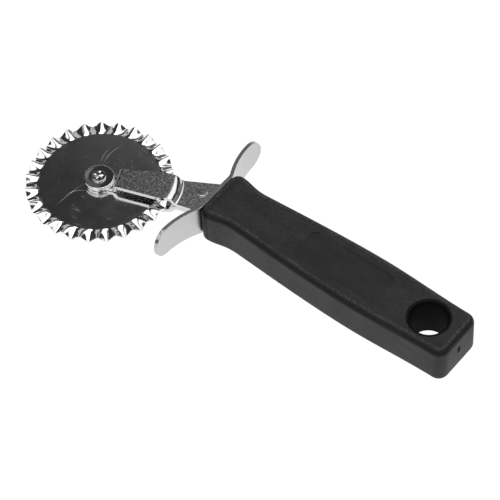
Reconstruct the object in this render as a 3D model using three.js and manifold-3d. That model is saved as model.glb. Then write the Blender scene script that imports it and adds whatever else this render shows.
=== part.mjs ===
// A pastry cutter wheel: a crimped steel wheel that turns on a pin between two fork arms. The arms' tangs
// pass through a winged finger guard and run into a moulded plastic handle with a hanging hole.
// Millimetres. x runs along the handle from the guard to its end, y across it and z up. The origin is at
// the middle of the whole cutter's box, on the plane that its flat underside rests on.

import * as THREE from "three";
import { mergeVertices } from "three/addons/utils/BufferGeometryUtils.js";
import Module from "manifold-3d";

// Wheel
const WHEEL_RADIUS = 27.5;
const WHEEL_THICKNESS = 0.9;
const CRIMP_COUNT = 26;
const CRIMP_LENGTH = 4.6; // from the rim inwards
const CRIMP_HEIGHT = 1.15; // of a fold's crest above the wheel's middle plane
const WHEEL_REST_TURN = THREE.MathUtils.degToRad(3.8); // how far the wheel stands turned from the fork

// Hub: the wheel turns on a bush that the pin clamps between the arms' eyes
const PIN_RADIUS = 2;
const HEAD_RADIUS = 5.7;
const HEAD_THICKNESS = 0.85;
const STAKE_RADIUS = 2.65;
const STAKE_HEIGHT = 0.4;
const BUSH_WALL = 1.2;
const WHEEL_RUNNING_GAP = 0.08; // radial, wheel bore over bush
const WHEEL_SIDE_GAP = 0.2; // each side, wheel to arm

// Fork
const WHEEL_REACH = 46.3; // along the fork, from the wheel's axis to the guard's back face
const FORK_BEND = THREE.MathUtils.degToRad(25); // between fork and handle, in the wheel's plane
const FORK_OFFSET = 1.6; // from the handle's axis to where the fork's axis meets the guard
const ARM_THICKNESS = 1.5;
const EYE_RADIUS = 5.2;
const ARM_NECK_WIDTH = 7.6; // where an arm leaves its eye
const ARM_WIDTH = 12.2; // at its widest, just inside the wheel's rim
const ARM_WAIST_WIDTH = 10.8; // halfway down the joggle
const ARM_FACE_GAP = 2.7; // from the wheel's middle plane to an arm's inner face, over the crimps
const EYE_MARGIN = 0.3; // from the washer's edge to where the arm rises out of its eye
const WIDEST_INSET = 3.5; // from the wheel's rim inwards to the arm's widest place
const RISE_ANGLE = THREE.MathUtils.degToRad(62);
const RISE_RADIUS = 1; // of the middle of the sheet, as are the next two
const JOGGLE_ANGLE = THREE.MathUtils.degToRad(50);
const JOGGLE_OUTER_RADIUS = 3;
const JOGGLE_INNER_RADIUS = 2;
const SHOULDER_WIDTH = 16; // where the arms butt against the guard
const SHOULDER_OFFSET = 0.6; // from the handle's axis to the shoulders' middle
const TANG_WIDTH = 11;
const TANG_LENGTH = 57; // behind the guard's back face
const TANG_CORNER = 2;

// Rivets, and the posts of the handle that lock its tang
const RIVET_RADIUS = 1.5;
const RIVET_HEAD_RADIUS = 2.25;
const RIVET_HEAD_HEIGHT = 0.5;
const FRONT_RIVET_SETBACK = 7.3; // in front of the guard's back face
const TANG_RIVET_DEPTH = 49;
const POST_RADIUS = 1.9;
const POST_DEPTHS = [18, 34];

// Finger guard
const GUARD_THICKNESS = 1.4;
const GUARD_FLAT = 8.3; // half the length of its flat middle
const GUARD_KNEE_RADIUS = 3.85;
const GUARD_KNEE_ANGLE = THREE.MathUtils.degToRad(28.3);
const WING_RADIUS = 32; // each wing curls back on this radius
const WING_LENGTH = 20.8; // along the curl
const GUARD_HEIGHT = 14.2;
const WING_HEIGHT = 13.2; // where the rounded tip begins
const WING_TIP_LENGTH = 6.1;

// Handle
const HANDLE_LENGTH = 109;
const HANDLE_THICKNESS = 17.2;
const COLLAR_WIDTH = 22.7;
const WAIST_WIDTH = 19.6;
const WAIST_AT = 14.5; // from the guard's back face
const BELLY_WIDTH = 24.4;
const BELLY_AT = 68;
const TAIL_WIDTH = 22;
const HANDLE_EDGE_RADIUS = 2.7;
const FRONT_CORNER_RADIUS = 3.2;
const TAIL_CORNER_RADIUS = 4;
const HOLE_RADIUS = 6.6;
const HOLE_LIP = 1.6;
const HOLE_SETBACK = 13.5; // from the hole's centre to the handle's end
const PANEL_START = 39.5;
const PANEL_LENGTH = 37.4;
const PANEL_WIDTH = 14.4;
const PANEL_DEPTH = 0.3;
const PANEL_CORNER = 3.5;
const GATE_WIDTH = 1.6;
const GATE_HEIGHT = 3;
const GATE_DEPTH = 0.5;
const GATE_OFFSET = -0.7; // across the end face, from its middle
const GATE_RISE = 1.6; // above its middle

// Fits
const SEAT_GAP = 0.05; // between flat faces that rest on each other
const PIN_GAP = 0.08; // radial, round a pin, rivet or post that doesn't turn
const MOULD_GAP = 0.3; // between the tang and the handle moulded round it
const OVERRUN = 1; // how far a cutter runs past what it cuts

const ROUND_STEPS = 36;
const BEND_STEPS = 4;

const wasm = await Module();
wasm.setup();

// ---------- solids ----------

function toSolid(geometry) {
  const bare = geometry.clone();
  bare.deleteAttribute("normal");
  bare.deleteAttribute("uv");
  const merged = mergeVertices(bare, 1e-4);
  return new wasm.Manifold(
    new wasm.Mesh({
      numProp: 3,
      vertProperties: merged.attributes.position.array,
      triVerts: new Uint32Array(merged.index.array),
    }),
  );
}

function toGeometry(solid) {
  const mesh = solid.getMesh();
  return new THREE.BufferGeometry()
    .setAttribute("position", new THREE.BufferAttribute(mesh.vertProperties, 3))
    .setIndex(new THREE.BufferAttribute(mesh.triVerts, 1));
}

// An outline in the x-y plane, raised from one height to another.
function prism(outline, bottom, top) {
  return new THREE.ExtrudeGeometry(outline, {
    depth: top - bottom,
    bevelEnabled: false,
    curveSegments: 8,
  }).translate(0, 0, bottom);
}

// A shape turned about z from [radius, height] points that start and end on the axis or close on themselves.
function turned(profile) {
  const points = profile.map(([radius, height]) => new THREE.Vector2(radius, height));
  return new THREE.LatheGeometry(points, ROUND_STEPS).rotateX(Math.PI / 2);
}

function rod(radius, bottom, top) {
  return turned([
    [0, bottom],
    [radius, bottom],
    [radius, top],
    [0, top],
  ]);
}

function roundedRectangle(left, right, width, corner) {
  const half = width / 2;
  return new THREE.Shape()
    .moveTo(left + corner, -half)
    .absarc(right - corner, -half + corner, corner, -Math.PI / 2, 0)
    .absarc(right - corner, half - corner, corner, 0, Math.PI / 2)
    .absarc(left + corner, half - corner, corner, Math.PI / 2, Math.PI)
    .absarc(left + corner, -half + corner, corner, Math.PI, 1.5 * Math.PI);
}

// The middle line of a bent sheet, as points with the direction to its left. A step runs straight on for
// a length, or turns through an angle on a radius, to the left where the angle is positive.
function sheetLine(start, heading, steps) {
  let [x, y] = start;
  let angle = heading;
  const line = [];
  const mark = () => line.push({ at: [x, y], left: [-Math.sin(angle), Math.cos(angle)] });
  mark();
  for (const { run, turn, radius } of steps) {
    const pieces = turn ? BEND_STEPS : 1;
    const chord = turn ? 2 * radius * Math.sin(Math.abs(turn) / pieces / 2) : run;
    for (let i = 0; i < pieces; i++) {
      const half = turn ? turn / pieces / 2 : 0;
      angle += half;
      x += chord * Math.cos(angle);
      y += chord * Math.sin(angle);
      angle += half;
      mark();
    }
  }
  return line;
}

// The cross-section of a sheet round its middle line.
function sheetSection(line, thickness) {
  const side = (offset) =>
    line.map(({ at, left }) => new THREE.Vector2(at[0] + left[0] * offset, at[1] + left[1] * offset));
  return new THREE.Shape([...side(-thickness / 2), ...side(thickness / 2).reverse()]);
}

// The two bends and the slope between them that lift a sheet by a height, or lower it by a negative one.
function joggle(height, angle, firstRadius, secondRadius) {
  const bends = (firstRadius + secondRadius) * (1 - Math.cos(angle));
  const turn = Math.sign(height) * angle;
  return [
    { turn, radius: firstRadius },
    { run: (Math.abs(height) - bends) / Math.sin(angle) },
    { turn: -turn, radius: secondRadius },
  ];
}

// ---------- places ----------

// Handle frame: the origin is the middle of the guard's back face. Fork frame: the origin is the wheel's
// centre and x points along the arms to that face. Both have z up, from the plane that halves the cutter.
const wheelCentre = new THREE.Vector2(-WHEEL_REACH, 0).rotateAround(new THREE.Vector2(), FORK_BEND);
wheelCentre.y += FORK_OFFSET;
const toForkFrame = (x, y) =>
  new THREE.Vector2(x, y).sub(wheelCentre).rotateAround(new THREE.Vector2(), -FORK_BEND);

const eyeInner = WHEEL_THICKNESS / 2 + WHEEL_SIDE_GAP;
const eyeOuter = eyeInner + ARM_THICKNESS;
const tangOuter = SEAT_GAP + ARM_THICKNESS;
const guardFront = -GUARD_THICKNESS;
const handleFront = SEAT_GAP;
const holeCentre = HANDLE_LENGTH - HOLE_SETBACK;

// ---------- wheel and hub ----------

// A flat disc whose rim is pressed into folds: rings of points, the same above and below, with the folds'
// height growing from nothing at the crimps' inner ends.
function cutterWheel() {
  const steps = 4 * CRIMP_COUNT;
  const bore = PIN_RADIUS + BUSH_WALL + WHEEL_RUNNING_GAP;
  const crimpStart = WHEEL_RADIUS - CRIMP_LENGTH;
  const rings = [[bore, 0]];
  for (const part of [0, 0.15, 0.4, 0.7, 1]) {
    rings.push([crimpStart + part * CRIMP_LENGTH, Math.sin((Math.min(part / 0.7, 1) * Math.PI) / 2)]);
  }
  const positions = [];
  for (const side of [1, -1]) {
    for (const [radius, rise] of rings) {
      for (let i = 0; i < steps; i++) {
        const angle = (2 * Math.PI * i) / steps;
        const fold = [0, 1, 0, -1][i % 4];
        const height = fold * rise * CRIMP_HEIGHT + (side * WHEEL_THICKNESS) / 2;
        positions.push(radius * Math.cos(angle), radius * Math.sin(angle), height);
      }
    }
  }
  const loops = [...rings.keys()];
  const under = loops.map((ring) => ring + rings.length).reverse();
  const round = [...loops, ...under, 0];
  const indices = [];
  for (let k = 0; k + 1 < round.length; k++) {
    for (let i = 0; i < steps; i++) {
      const next = (i + 1) % steps;
      const [a, b] = [round[k] * steps + i, round[k] * steps + next];
      const [c, d] = [round[k + 1] * steps + i, round[k + 1] * steps + next];
      indices.push(a, c, b, b, c, d);
    }
  }
  return new THREE.BufferGeometry()
    .setAttribute("position", new THREE.Float32BufferAttribute(positions, 3))
    .setIndex(indices);
}

function wheelBush() {
  const inner = PIN_RADIUS + PIN_GAP;
  const outer = PIN_RADIUS + BUSH_WALL;
  const half = eyeInner - SEAT_GAP;
  return turned([
    [inner, -half],
    [outer, -half],
    [outer, half],
    [inner, half],
    [inner, -half],
  ]);
}

// The pin has a flat head below, and its upper end is staked over the washer.
function axlePin() {
  const head = eyeOuter + SEAT_GAP;
  const washerTop = head + HEAD_THICKNESS + SEAT_GAP;
  return turned([
    [0, -head - HEAD_THICKNESS],
    [HEAD_RADIUS - 0.3, -head - HEAD_THICKNESS],
    [HEAD_RADIUS, -head - HEAD_THICKNESS + 0.3],
    [HEAD_RADIUS, -head],
    [PIN_RADIUS, -head],
    [PIN_RADIUS, washerTop],
    [STAKE_RADIUS, washerTop],
    [STAKE_RADIUS - 0.2, washerTop + STAKE_HEIGHT],
    [0, washerTop + STAKE_HEIGHT],
  ]);
}

function hubWasher() {
  const inner = PIN_RADIUS + PIN_GAP;
  const bottom = eyeOuter + SEAT_GAP;
  const top = bottom + HEAD_THICKNESS;
  return turned([
    [inner, bottom],
    [HEAD_RADIUS, bottom],
    [HEAD_RADIUS, top - 0.3],
    [HEAD_RADIUS - 0.3, top],
    [inner, top],
    [inner, bottom],
  ]);
}

// ---------- fork ----------

// An arm from its eye to the guard: the round eye lies close to the wheel, the arm rises clear of the
// crimps and joggles down past the rim until it meets the other arm.
const overCrimps = ARM_FACE_GAP + ARM_THICKNESS / 2;
const eyeMiddle = eyeInner + ARM_THICKNESS / 2;
const tangMiddle = SEAT_GAP + ARM_THICKNESS / 2;
const riseAt = HEAD_RADIUS + EYE_MARGIN;
const rise = joggle(overCrimps - eyeMiddle, RISE_ANGLE, RISE_RADIUS, RISE_RADIUS);
const drop = joggle(tangMiddle - overCrimps, JOGGLE_ANGLE, JOGGLE_OUTER_RADIUS, JOGGLE_INNER_RADIUS);
const reachOf = (steps) => sheetLine([0, 0], 0, steps).at(-1).at[0];

function armBlade() {
  const eyeEnd = EYE_RADIUS + OVERRUN;
  const section = sheetSection(
    sheetLine([-eyeEnd, eyeMiddle], 0, [
      { run: eyeEnd + riseAt },
      ...rise,
      { run: WHEEL_RADIUS - riseAt - reachOf(rise) },
      ...drop,
      { run: WHEEL_REACH },
    ]),
    ARM_THICKNESS,
  );
  const across = 2 * SHOULDER_WIDTH;
  const sheet = prism(section, -across / 2, across / 2).rotateX(Math.PI / 2);
  return toSolid(sheet).intersect(toSolid(prism(bladeOutline(), -OVERRUN, overCrimps + ARM_THICKNESS)));
}

function bladeOutline() {
  const eyeAngle = Math.asin(ARM_NECK_WIDTH / 2 / EYE_RADIUS);
  const widestAt = WHEEL_RADIUS - WIDEST_INSET;
  const waistAt = WHEEL_RADIUS + reachOf(drop) / 2;
  const shoulderAt = guardFront - SEAT_GAP;
  const upperShoulder = toForkFrame(shoulderAt, SHOULDER_OFFSET + SHOULDER_WIDTH / 2);
  const lowerShoulder = toForkFrame(shoulderAt, SHOULDER_OFFSET - SHOULDER_WIDTH / 2);
  return new THREE.Shape()
    .absarc(0, 0, EYE_RADIUS, eyeAngle, 2 * Math.PI - eyeAngle)
    .lineTo(widestAt, -ARM_WIDTH / 2)
    .lineTo(waistAt, -ARM_WAIST_WIDTH / 2)
    .lineTo(lowerShoulder.x, lowerShoulder.y)
    .lineTo(upperShoulder.x, upperShoulder.y)
    .lineTo(waistAt, ARM_WAIST_WIDTH / 2)
    .lineTo(widestAt, ARM_WIDTH / 2);
}

function tangOutline(margin) {
  const start = guardFront - TANG_WIDTH / 2;
  return roundedRectangle(start, TANG_LENGTH + margin, TANG_WIDTH + 2 * margin, TANG_CORNER);
}

// The upper arm; the lower one is its mirror image.
function forkArm(mirrored) {
  const blade = armBlade()
    .rotate([0, 0, THREE.MathUtils.radToDeg(FORK_BEND)])
    .translate([wheelCentre.x, wheelCentre.y, 0]);
  let arm = blade.add(toSolid(prism(tangOutline(0), SEAT_GAP, tangOuter)));
  const hole = (x, y, radius) => toSolid(rod(radius, -OVERRUN, eyeOuter + OVERRUN).translate(x, y, 0));
  arm = arm.subtract(hole(wheelCentre.x, wheelCentre.y, PIN_RADIUS + PIN_GAP));
  arm = arm.subtract(hole(-FRONT_RIVET_SETBACK, 0, RIVET_RADIUS + PIN_GAP));
  arm = arm.subtract(hole(TANG_RIVET_DEPTH, 0, RIVET_RADIUS + PIN_GAP));
  for (const depth of POST_DEPTHS) {
    arm = arm.subtract(hole(depth, 0, POST_RADIUS + MOULD_GAP));
  }
  return toGeometry(mirrored ? arm.mirror([0, 0, 1]) : arm);
}

// A rivet through both arms, with a low dome on each side.
function rivet() {
  const seat = tangOuter + SEAT_GAP;
  const dome = [
    [RIVET_HEAD_RADIUS, 0],
    [RIVET_HEAD_RADIUS * 0.85, RIVET_HEAD_HEIGHT * 0.6],
    [RIVET_HEAD_RADIUS * 0.5, RIVET_HEAD_HEIGHT * 0.92],
    [0, RIVET_HEAD_HEIGHT],
  ];
  const above = dome.map(([radius, height]) => [radius, seat + height]);
  const below = dome.map(([radius, height]) => [radius, -seat - height]).reverse();
  return turned([...below, [RIVET_RADIUS, -seat], [RIVET_RADIUS, seat], ...above]);
}

// ---------- finger guard ----------

// A strip bent in plan, with a flat middle and two wings that lean towards the wheel and curl back. Its
// ends are rounded, and the tangs pass through a slot in the middle.
function fingerGuard() {
  const middle = guardFront / 2;
  const wing = sheetLine([middle, 0], Math.PI / 2, [
    { run: GUARD_FLAT },
    { turn: GUARD_KNEE_ANGLE, radius: GUARD_KNEE_RADIUS },
    { turn: -WING_LENGTH / WING_RADIUS / 2, radius: WING_RADIUS },
    { turn: -WING_LENGTH / WING_RADIUS / 2, radius: WING_RADIUS },
  ]);
  const mirrored = wing.slice(1).map(({ at, left }) => ({ at: [at[0], -at[1]], left: [left[0], -left[1]] }));
  const section = sheetSection([...mirrored.reverse(), ...wing], GUARD_THICKNESS);
  const strip = toSolid(prism(section, -GUARD_HEIGHT, GUARD_HEIGHT));
  const tip = wing.at(-1).at[1];
  const reach = WING_LENGTH;
  const face = prism(guardFace(tip), -reach, reach).rotateY(Math.PI / 2);
  const slotHalf = tangOuter + SEAT_GAP;
  const slot = prism(roundedRectangle(-reach, reach, TANG_WIDTH + 2 * SEAT_GAP, TANG_CORNER), -slotHalf, slotHalf);
  return toGeometry(strip.intersect(toSolid(face)).subtract(toSolid(slot)));
}

// The guard seen along the handle, drawn with its height along x and its length along y.
function guardFace(tip) {
  const start = tip - WING_TIP_LENGTH;
  return new THREE.Shape()
    .moveTo(GUARD_HEIGHT / 2, -GUARD_FLAT)
    .lineTo(GUARD_HEIGHT / 2, GUARD_FLAT)
    .lineTo(WING_HEIGHT / 2, start)
    .absellipse(0, start, WING_HEIGHT / 2, WING_TIP_LENGTH, 0, Math.PI)
    .lineTo(-GUARD_HEIGHT / 2, GUARD_FLAT)
    .lineTo(-GUARD_HEIGHT / 2, -GUARD_FLAT)
    .lineTo(-WING_HEIGHT / 2, -start)
    .absellipse(0, -start, WING_HEIGHT / 2, WING_TIP_LENGTH, Math.PI, 2 * Math.PI);
}

// ---------- handle ----------

// One side of the handle, from the end of its front corner to the start of its tail corner, as the points
// of three cubic curves: from the collar to the waist for the finger, to the belly, and to the tail.
function handleSide(sign) {
  const points = [
    [handleFront + FRONT_CORNER_RADIUS, COLLAR_WIDTH],
    [handleFront + FRONT_CORNER_RADIUS + 4, COLLAR_WIDTH],
    [WAIST_AT - 5.2, WAIST_WIDTH],
    [WAIST_AT, WAIST_WIDTH],
    [WAIST_AT + 3, WAIST_WIDTH],
    [BELLY_AT - 21, BELLY_WIDTH],
    [BELLY_AT, BELLY_WIDTH],
    [BELLY_AT + 13, BELLY_WIDTH],
    [HANDLE_LENGTH - TAIL_CORNER_RADIUS - 13, TAIL_WIDTH],
    [HANDLE_LENGTH - TAIL_CORNER_RADIUS, TAIL_WIDTH],
  ];
  return points.map(([x, width]) => [x, (sign * width) / 2]);
}

function addCurves(outline, points) {
  for (let i = 1; i < points.length; i += 3) {
    outline.bezierCurveTo(...points[i], ...points[i + 1], ...points[i + 2]);
  }
}

function handleOutline() {
  const frontAt = handleFront + FRONT_CORNER_RADIUS;
  const frontCorner = COLLAR_WIDTH / 2 - FRONT_CORNER_RADIUS;
  const tailAt = HANDLE_LENGTH - TAIL_CORNER_RADIUS;
  const tailCorner = TAIL_WIDTH / 2 - TAIL_CORNER_RADIUS;
  const outline = new THREE.Shape();
  outline.absarc(frontAt, -frontCorner, FRONT_CORNER_RADIUS, Math.PI, 1.5 * Math.PI);
  addCurves(outline, handleSide(-1));
  outline.absarc(tailAt, -tailCorner, TAIL_CORNER_RADIUS, -Math.PI / 2, 0);
  outline.absarc(tailAt, tailCorner, TAIL_CORNER_RADIUS, 0, Math.PI / 2);
  addCurves(outline, handleSide(1).reverse());
  outline.absarc(frontAt, frontCorner, FRONT_CORNER_RADIUS, Math.PI / 2, Math.PI);
  return outline;
}

function handleBody() {
  const straight = HANDLE_THICKNESS - 2 * HANDLE_EDGE_RADIUS;
  return new THREE.ExtrudeGeometry(handleOutline(), {
    depth: straight,
    bevelThickness: HANDLE_EDGE_RADIUS,
    bevelSize: HANDLE_EDGE_RADIUS,
    bevelOffset: -HANDLE_EDGE_RADIUS,
    bevelSegments: 4,
    curveSegments: 8,
  }).translate(0, 0, -straight / 2);
}

// The hanging hole, with a rounded lip at both faces.
function hangingHole() {
  const half = HANDLE_THICKNESS / 2;
  const rim = HOLE_RADIUS + HOLE_LIP;
  const lip = [];
  for (let i = 0; i <= 3; i++) {
    const angle = (i / 3) * (Math.PI / 2);
    lip.push([rim - HOLE_LIP * Math.sin(angle), half - HOLE_LIP * (1 - Math.cos(angle))]);
  }
  const below = lip.map(([radius, height]) => [radius, -height]);
  return turned([
    [0, -half - OVERRUN],
    [rim, -half - OVERRUN],
    ...below,
    ...lip.reverse(),
    [rim, half + OVERRUN],
    [0, half + OVERRUN],
  ]).translate(holeCentre, 0, 0);
}

// The room that the tangs and the rivet through them take in the handle, around the posts that lock them.
function tangCavity() {
  const half = tangOuter + MOULD_GAP;
  const headHalf = tangOuter + SEAT_GAP + RIVET_HEAD_HEIGHT + MOULD_GAP;
  const pocket = rod(RIVET_HEAD_RADIUS + MOULD_GAP, -headHalf, headHalf).translate(TANG_RIVET_DEPTH, 0, 0);
  let cavity = toSolid(prism(tangOutline(MOULD_GAP), -half, half)).add(toSolid(pocket));
  for (const depth of POST_DEPTHS) {
    const post = rod(POST_RADIUS, -half - OVERRUN, half + OVERRUN).translate(depth, 0, 0);
    cavity = cavity.subtract(toSolid(post));
  }
  return cavity;
}

function handle() {
  const face = HANDLE_THICKNESS / 2;
  const panel = roundedRectangle(PANEL_START, PANEL_START + PANEL_LENGTH, PANEL_WIDTH, PANEL_CORNER);
  const gateEnd = HANDLE_LENGTH + OVERRUN;
  const gate = roundedRectangle(HANDLE_LENGTH - GATE_DEPTH, gateEnd, GATE_WIDTH, GATE_DEPTH / 2);
  const gateMark = prism(gate, -GATE_HEIGHT / 2, GATE_HEIGHT / 2).translate(0, GATE_OFFSET, GATE_RISE);
  return toGeometry(
    toSolid(handleBody())
      .subtract(toSolid(hangingHole()))
      .subtract(tangCavity())
      .subtract(toSolid(prism(panel, face - PANEL_DEPTH, face + OVERRUN)))
      .subtract(toSolid(prism(panel, -face - OVERRUN, PANEL_DEPTH - face)))
      .subtract(toSolid(gateMark)),
  );
}

// ---------- assembly ----------

const polishedSteel = { color: 0xb9bcc0, roughness: 0.15, metalness: 1 };
const satinSteel = { color: 0xc6c8ca, roughness: 0.35, metalness: 1 };
const blackPlastic = { color: 0x2b2b2c, roughness: 0.6, metalness: 0 };

function piece(name, geometry, finish) {
  const mesh = new THREE.Mesh(geometry, new THREE.MeshStandardMaterial(finish));
  mesh.name = name;
  return mesh;
}

function hubGroup() {
  const wheel = piece("cutter_wheel", cutterWheel(), polishedSteel);
  wheel.rotation.z = WHEEL_REST_TURN;
  const hub = new THREE.Group();
  hub.position.set(wheelCentre.x, wheelCentre.y, 0);
  hub.rotation.z = FORK_BEND;
  hub.add(
    wheel,
    piece("wheel_bush", wheelBush(), satinSteel),
    piece("axle_pin", axlePin(), satinSteel),
    piece("hub_washer", hubWasher(), satinSteel),
  );
  return hub;
}

function forkGroup() {
  const frontRivet = piece("front_rivet", rivet(), satinSteel);
  frontRivet.position.x = -FRONT_RIVET_SETBACK;
  const tangRivet = piece("tang_rivet", rivet(), satinSteel);
  tangRivet.position.x = TANG_RIVET_DEPTH;
  return new THREE.Group().add(
    piece("upper_fork_arm", forkArm(false), satinSteel),
    piece("lower_fork_arm", forkArm(true), satinSteel),
    frontRivet,
    tangRivet,
  );
}

const cutter = new THREE.Group().add(
  hubGroup(),
  forkGroup(),
  piece("finger_guard", fingerGuard(), satinSteel),
  piece("handle", handle(), blackPlastic),
);
const box = new THREE.Box3().setFromObject(cutter, true);
const middle = box.getCenter(new THREE.Vector3());
cutter.position.set(-middle.x, -middle.y, -box.min.z);

export default new THREE.Group().add(cutter);
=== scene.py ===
"""The looks of a pastry cutter wheel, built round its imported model.

A fluted steel wheel turns between the two pressed arms of a fork. The arms run through a winged finger
guard into a moulded handle. Lengths are metres in the model's frame: x runs along the handle to its end,
y across it and z up. Sizes are written in millimetres times MM.
"""

import logging
import math
from dataclasses import dataclass, field
from enum import Enum
from typing import Callable, Sequence

import bmesh
import bpy
from mathutils import Matrix, Vector
from mathutils.geometry import interpolate_bezier


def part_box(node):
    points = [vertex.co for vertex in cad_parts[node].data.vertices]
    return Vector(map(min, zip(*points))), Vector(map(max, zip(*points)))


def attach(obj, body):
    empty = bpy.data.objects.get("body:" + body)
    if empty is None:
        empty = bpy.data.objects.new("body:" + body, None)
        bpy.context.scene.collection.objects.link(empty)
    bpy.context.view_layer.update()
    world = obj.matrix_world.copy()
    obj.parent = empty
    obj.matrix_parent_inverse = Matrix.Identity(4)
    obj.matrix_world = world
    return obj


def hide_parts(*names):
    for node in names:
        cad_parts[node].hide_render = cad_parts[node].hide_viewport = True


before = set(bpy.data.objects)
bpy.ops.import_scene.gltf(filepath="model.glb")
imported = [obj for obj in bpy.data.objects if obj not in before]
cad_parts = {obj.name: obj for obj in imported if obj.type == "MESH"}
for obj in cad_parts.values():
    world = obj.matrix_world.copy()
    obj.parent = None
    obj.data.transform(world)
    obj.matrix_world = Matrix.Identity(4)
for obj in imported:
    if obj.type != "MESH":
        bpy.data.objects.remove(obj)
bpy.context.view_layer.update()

MM = 0.001
MERGE = 0.001 * MM  # vertices closer than this are one
SHARP = math.radians(38)  # edges that turn more than this are shaded as edges
FULL_TURN = 2 * math.pi
QUARTER_TURN = math.pi / 2

CHROME = (0.86, 0.86, 0.87)
UP = Vector((0, 0, 1))

Point = tuple[float, float]
Edges = list[bmesh.types.BMEdge]
Mesh = bmesh.types.BMesh
Socket = bpy.types.NodeSocket
log = logging.getLogger("cutter")


class Body(Enum):
    """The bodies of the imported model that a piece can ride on."""

    FRAME = "frame"
    WHEEL = "wheel"


class Slot(Enum):
    """The record's material slots."""

    WHEEL = "wheel_steel"
    HUB = "hub_steel"
    ARM = "arm_steel"
    GUARD = "guard_steel"
    HANDLE = "handle_plastic"


# ---------- mesh helpers ----------


def grey(level: float) -> tuple[float, float, float]:
    """A colour with no hue."""
    return level, level, level


def arc(centre: Point, radius: float, start: float, end: float, steps: int) -> list[Point]:
    """Points along an arc, both ends included.

    Args:
        centre: the arc's centre.
        radius: its radius.
        start: the angle of its first point, in radians.
        end: the angle of its last point.
        steps: how many chords it is drawn with.

    Returns:
        The points, in order.
    """
    angles = [start + (end - start) * i / steps for i in range(steps + 1)]
    return [(centre[0] + radius * math.cos(a), centre[1] + radius * math.sin(a)) for a in angles]


def rounded_rectangle(left: float, right: float, width: float, corner: float, steps: int) -> list[Point]:
    """The outline of a rectangle with round corners, centred on the x axis.

    Args:
        left: its lowest x.
        right: its highest x.
        width: its size in y.
        corner: the radius of its corners.
        steps: chords in each corner.

    Returns:
        The points, anticlockwise.
    """
    side = width / 2 - corner
    front, back = right - corner, left + corner
    middles = [(front, -side), (front, side), (back, side), (back, -side)]
    points = []
    for i, middle in enumerate(middles):
        start = (i - 1) * QUARTER_TURN
        points += arc(middle, corner, start, start + QUARTER_TURN, steps)
    return points


def add_loop(mesh: Mesh, points: Sequence[Point], height: float = 0.0) -> Edges:
    """Adds a closed loop of edges at one height.

    Args:
        mesh: the mesh that gets it.
        points: its corners.
        height: its z.

    Returns:
        The new edges.
    """
    verts = [mesh.verts.new((x, y, height)) for x, y in points]
    return [mesh.edges.new((a, b)) for a, b in zip(verts, verts[1:] + verts[:1])]


def edges_in(parts: Sequence[object]) -> Edges:
    """The edges among the parts that an operator made."""
    return [part for part in parts if isinstance(part, bmesh.types.BMEdge)]


def extruded(mesh: Mesh, edges: Edges) -> Edges:
    """Extrudes edges into walls of no height, and gives the walls' far edges to be moved."""
    return edges_in(bmesh.ops.extrude_edge_only(mesh, edges=edges)["geom"])


def verts_on(edges: Edges) -> list[bmesh.types.BMVert]:
    """The ends of edges, each once, in a fixed order."""
    return list(dict.fromkeys(vert for edge in edges for vert in edge.verts))


def fill_flat(mesh: Mesh, edges: Edges, facing: Vector) -> None:
    """Fills the flat area between loops of edges, holes left open, with as few faces as it takes.

    Args:
        mesh: the mesh that holds the loops.
        edges: the edges of all the loops.
        facing: the side that the new faces look to.
    """
    made = bmesh.ops.triangle_fill(mesh, use_beauty=True, edges=list(edges), normal=facing)
    faces = [part for part in made["geom"] if isinstance(part, bmesh.types.BMFace)]
    edges_of_faces = dict.fromkeys(e for f in faces for e in f.edges)
    inner = [e for e in edges_of_faces if len(e.link_faces) == 2 and all(f in faces for f in e.link_faces)]
    inner.sort(key=bmesh.types.BMEdge.calc_length, reverse=True)  # a fixed order keeps runs alike
    bmesh.ops.dissolve_limit(mesh, angle_limit=math.radians(0.5), edges=inner, verts=[])


def spun(profile: Sequence[Point], steps: int) -> Mesh:
    """Turns a profile all the way round the z axis.

    Args:
        profile: (radius, height) points, ending on the axis or closing on themselves.
        steps: how many steps make the turn.

    Returns:
        The closed mesh.
    """
    mesh = bmesh.new()
    verts = [mesh.verts.new((radius, 0.0, height)) for radius, height in profile]
    edges = [mesh.edges.new(pair) for pair in zip(verts, verts[1:])]
    if min(radius for radius, _ in profile) > 0:
        edges.append(mesh.edges.new((verts[-1], verts[0])))
    bmesh.ops.spin(
        mesh,
        geom=verts + edges,
        cent=(0, 0, 0),
        axis=(0, 0, 1),
        angle=FULL_TURN,
        steps=steps,
        use_merge=True,
        use_duplicate=False,
    )
    bmesh.ops.remove_doubles(mesh, verts=mesh.verts[:], dist=MERGE)
    bmesh.ops.recalc_face_normals(mesh, faces=mesh.faces[:])
    return mesh


def soften(mesh: Mesh, radius: float, segments: int, above: float = SHARP) -> None:
    """Rounds every edge that turns more sharply than an angle.

    Args:
        mesh: the mesh to round.
        radius: how far the rounding reaches from each edge.
        segments: facets across the rounding.
        above: the angle, in radians.
    """
    sharp = [e for e in mesh.edges if e.is_manifold and e.calc_face_angle() > above]
    bmesh.ops.bevel(
        mesh,
        geom=sharp,
        offset=radius,
        offset_type="OFFSET",
        segments=segments,
        profile=0.5,
        affect="EDGES",
        clamp_overlap=True,
        material=-1,
    )


def slice_across(mesh: Mesh, stations: Sequence[float], along: Vector) -> None:
    """Cuts a flat blank across a direction, so that it can bend there.

    Args:
        mesh: the blank, in the x-y plane.
        stations: how far along the direction each cut is.
        along: the direction.
    """
    for station in stations:
        everything = mesh.verts[:] + mesh.edges[:] + mesh.faces[:]
        bmesh.ops.bisect_plane(mesh, geom=everything, dist=MERGE, plane_co=along * station, plane_no=along)


def straight(x: float, y: float) -> float:
    """The bow of a bend that isn't bowed."""
    return 0.0


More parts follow.
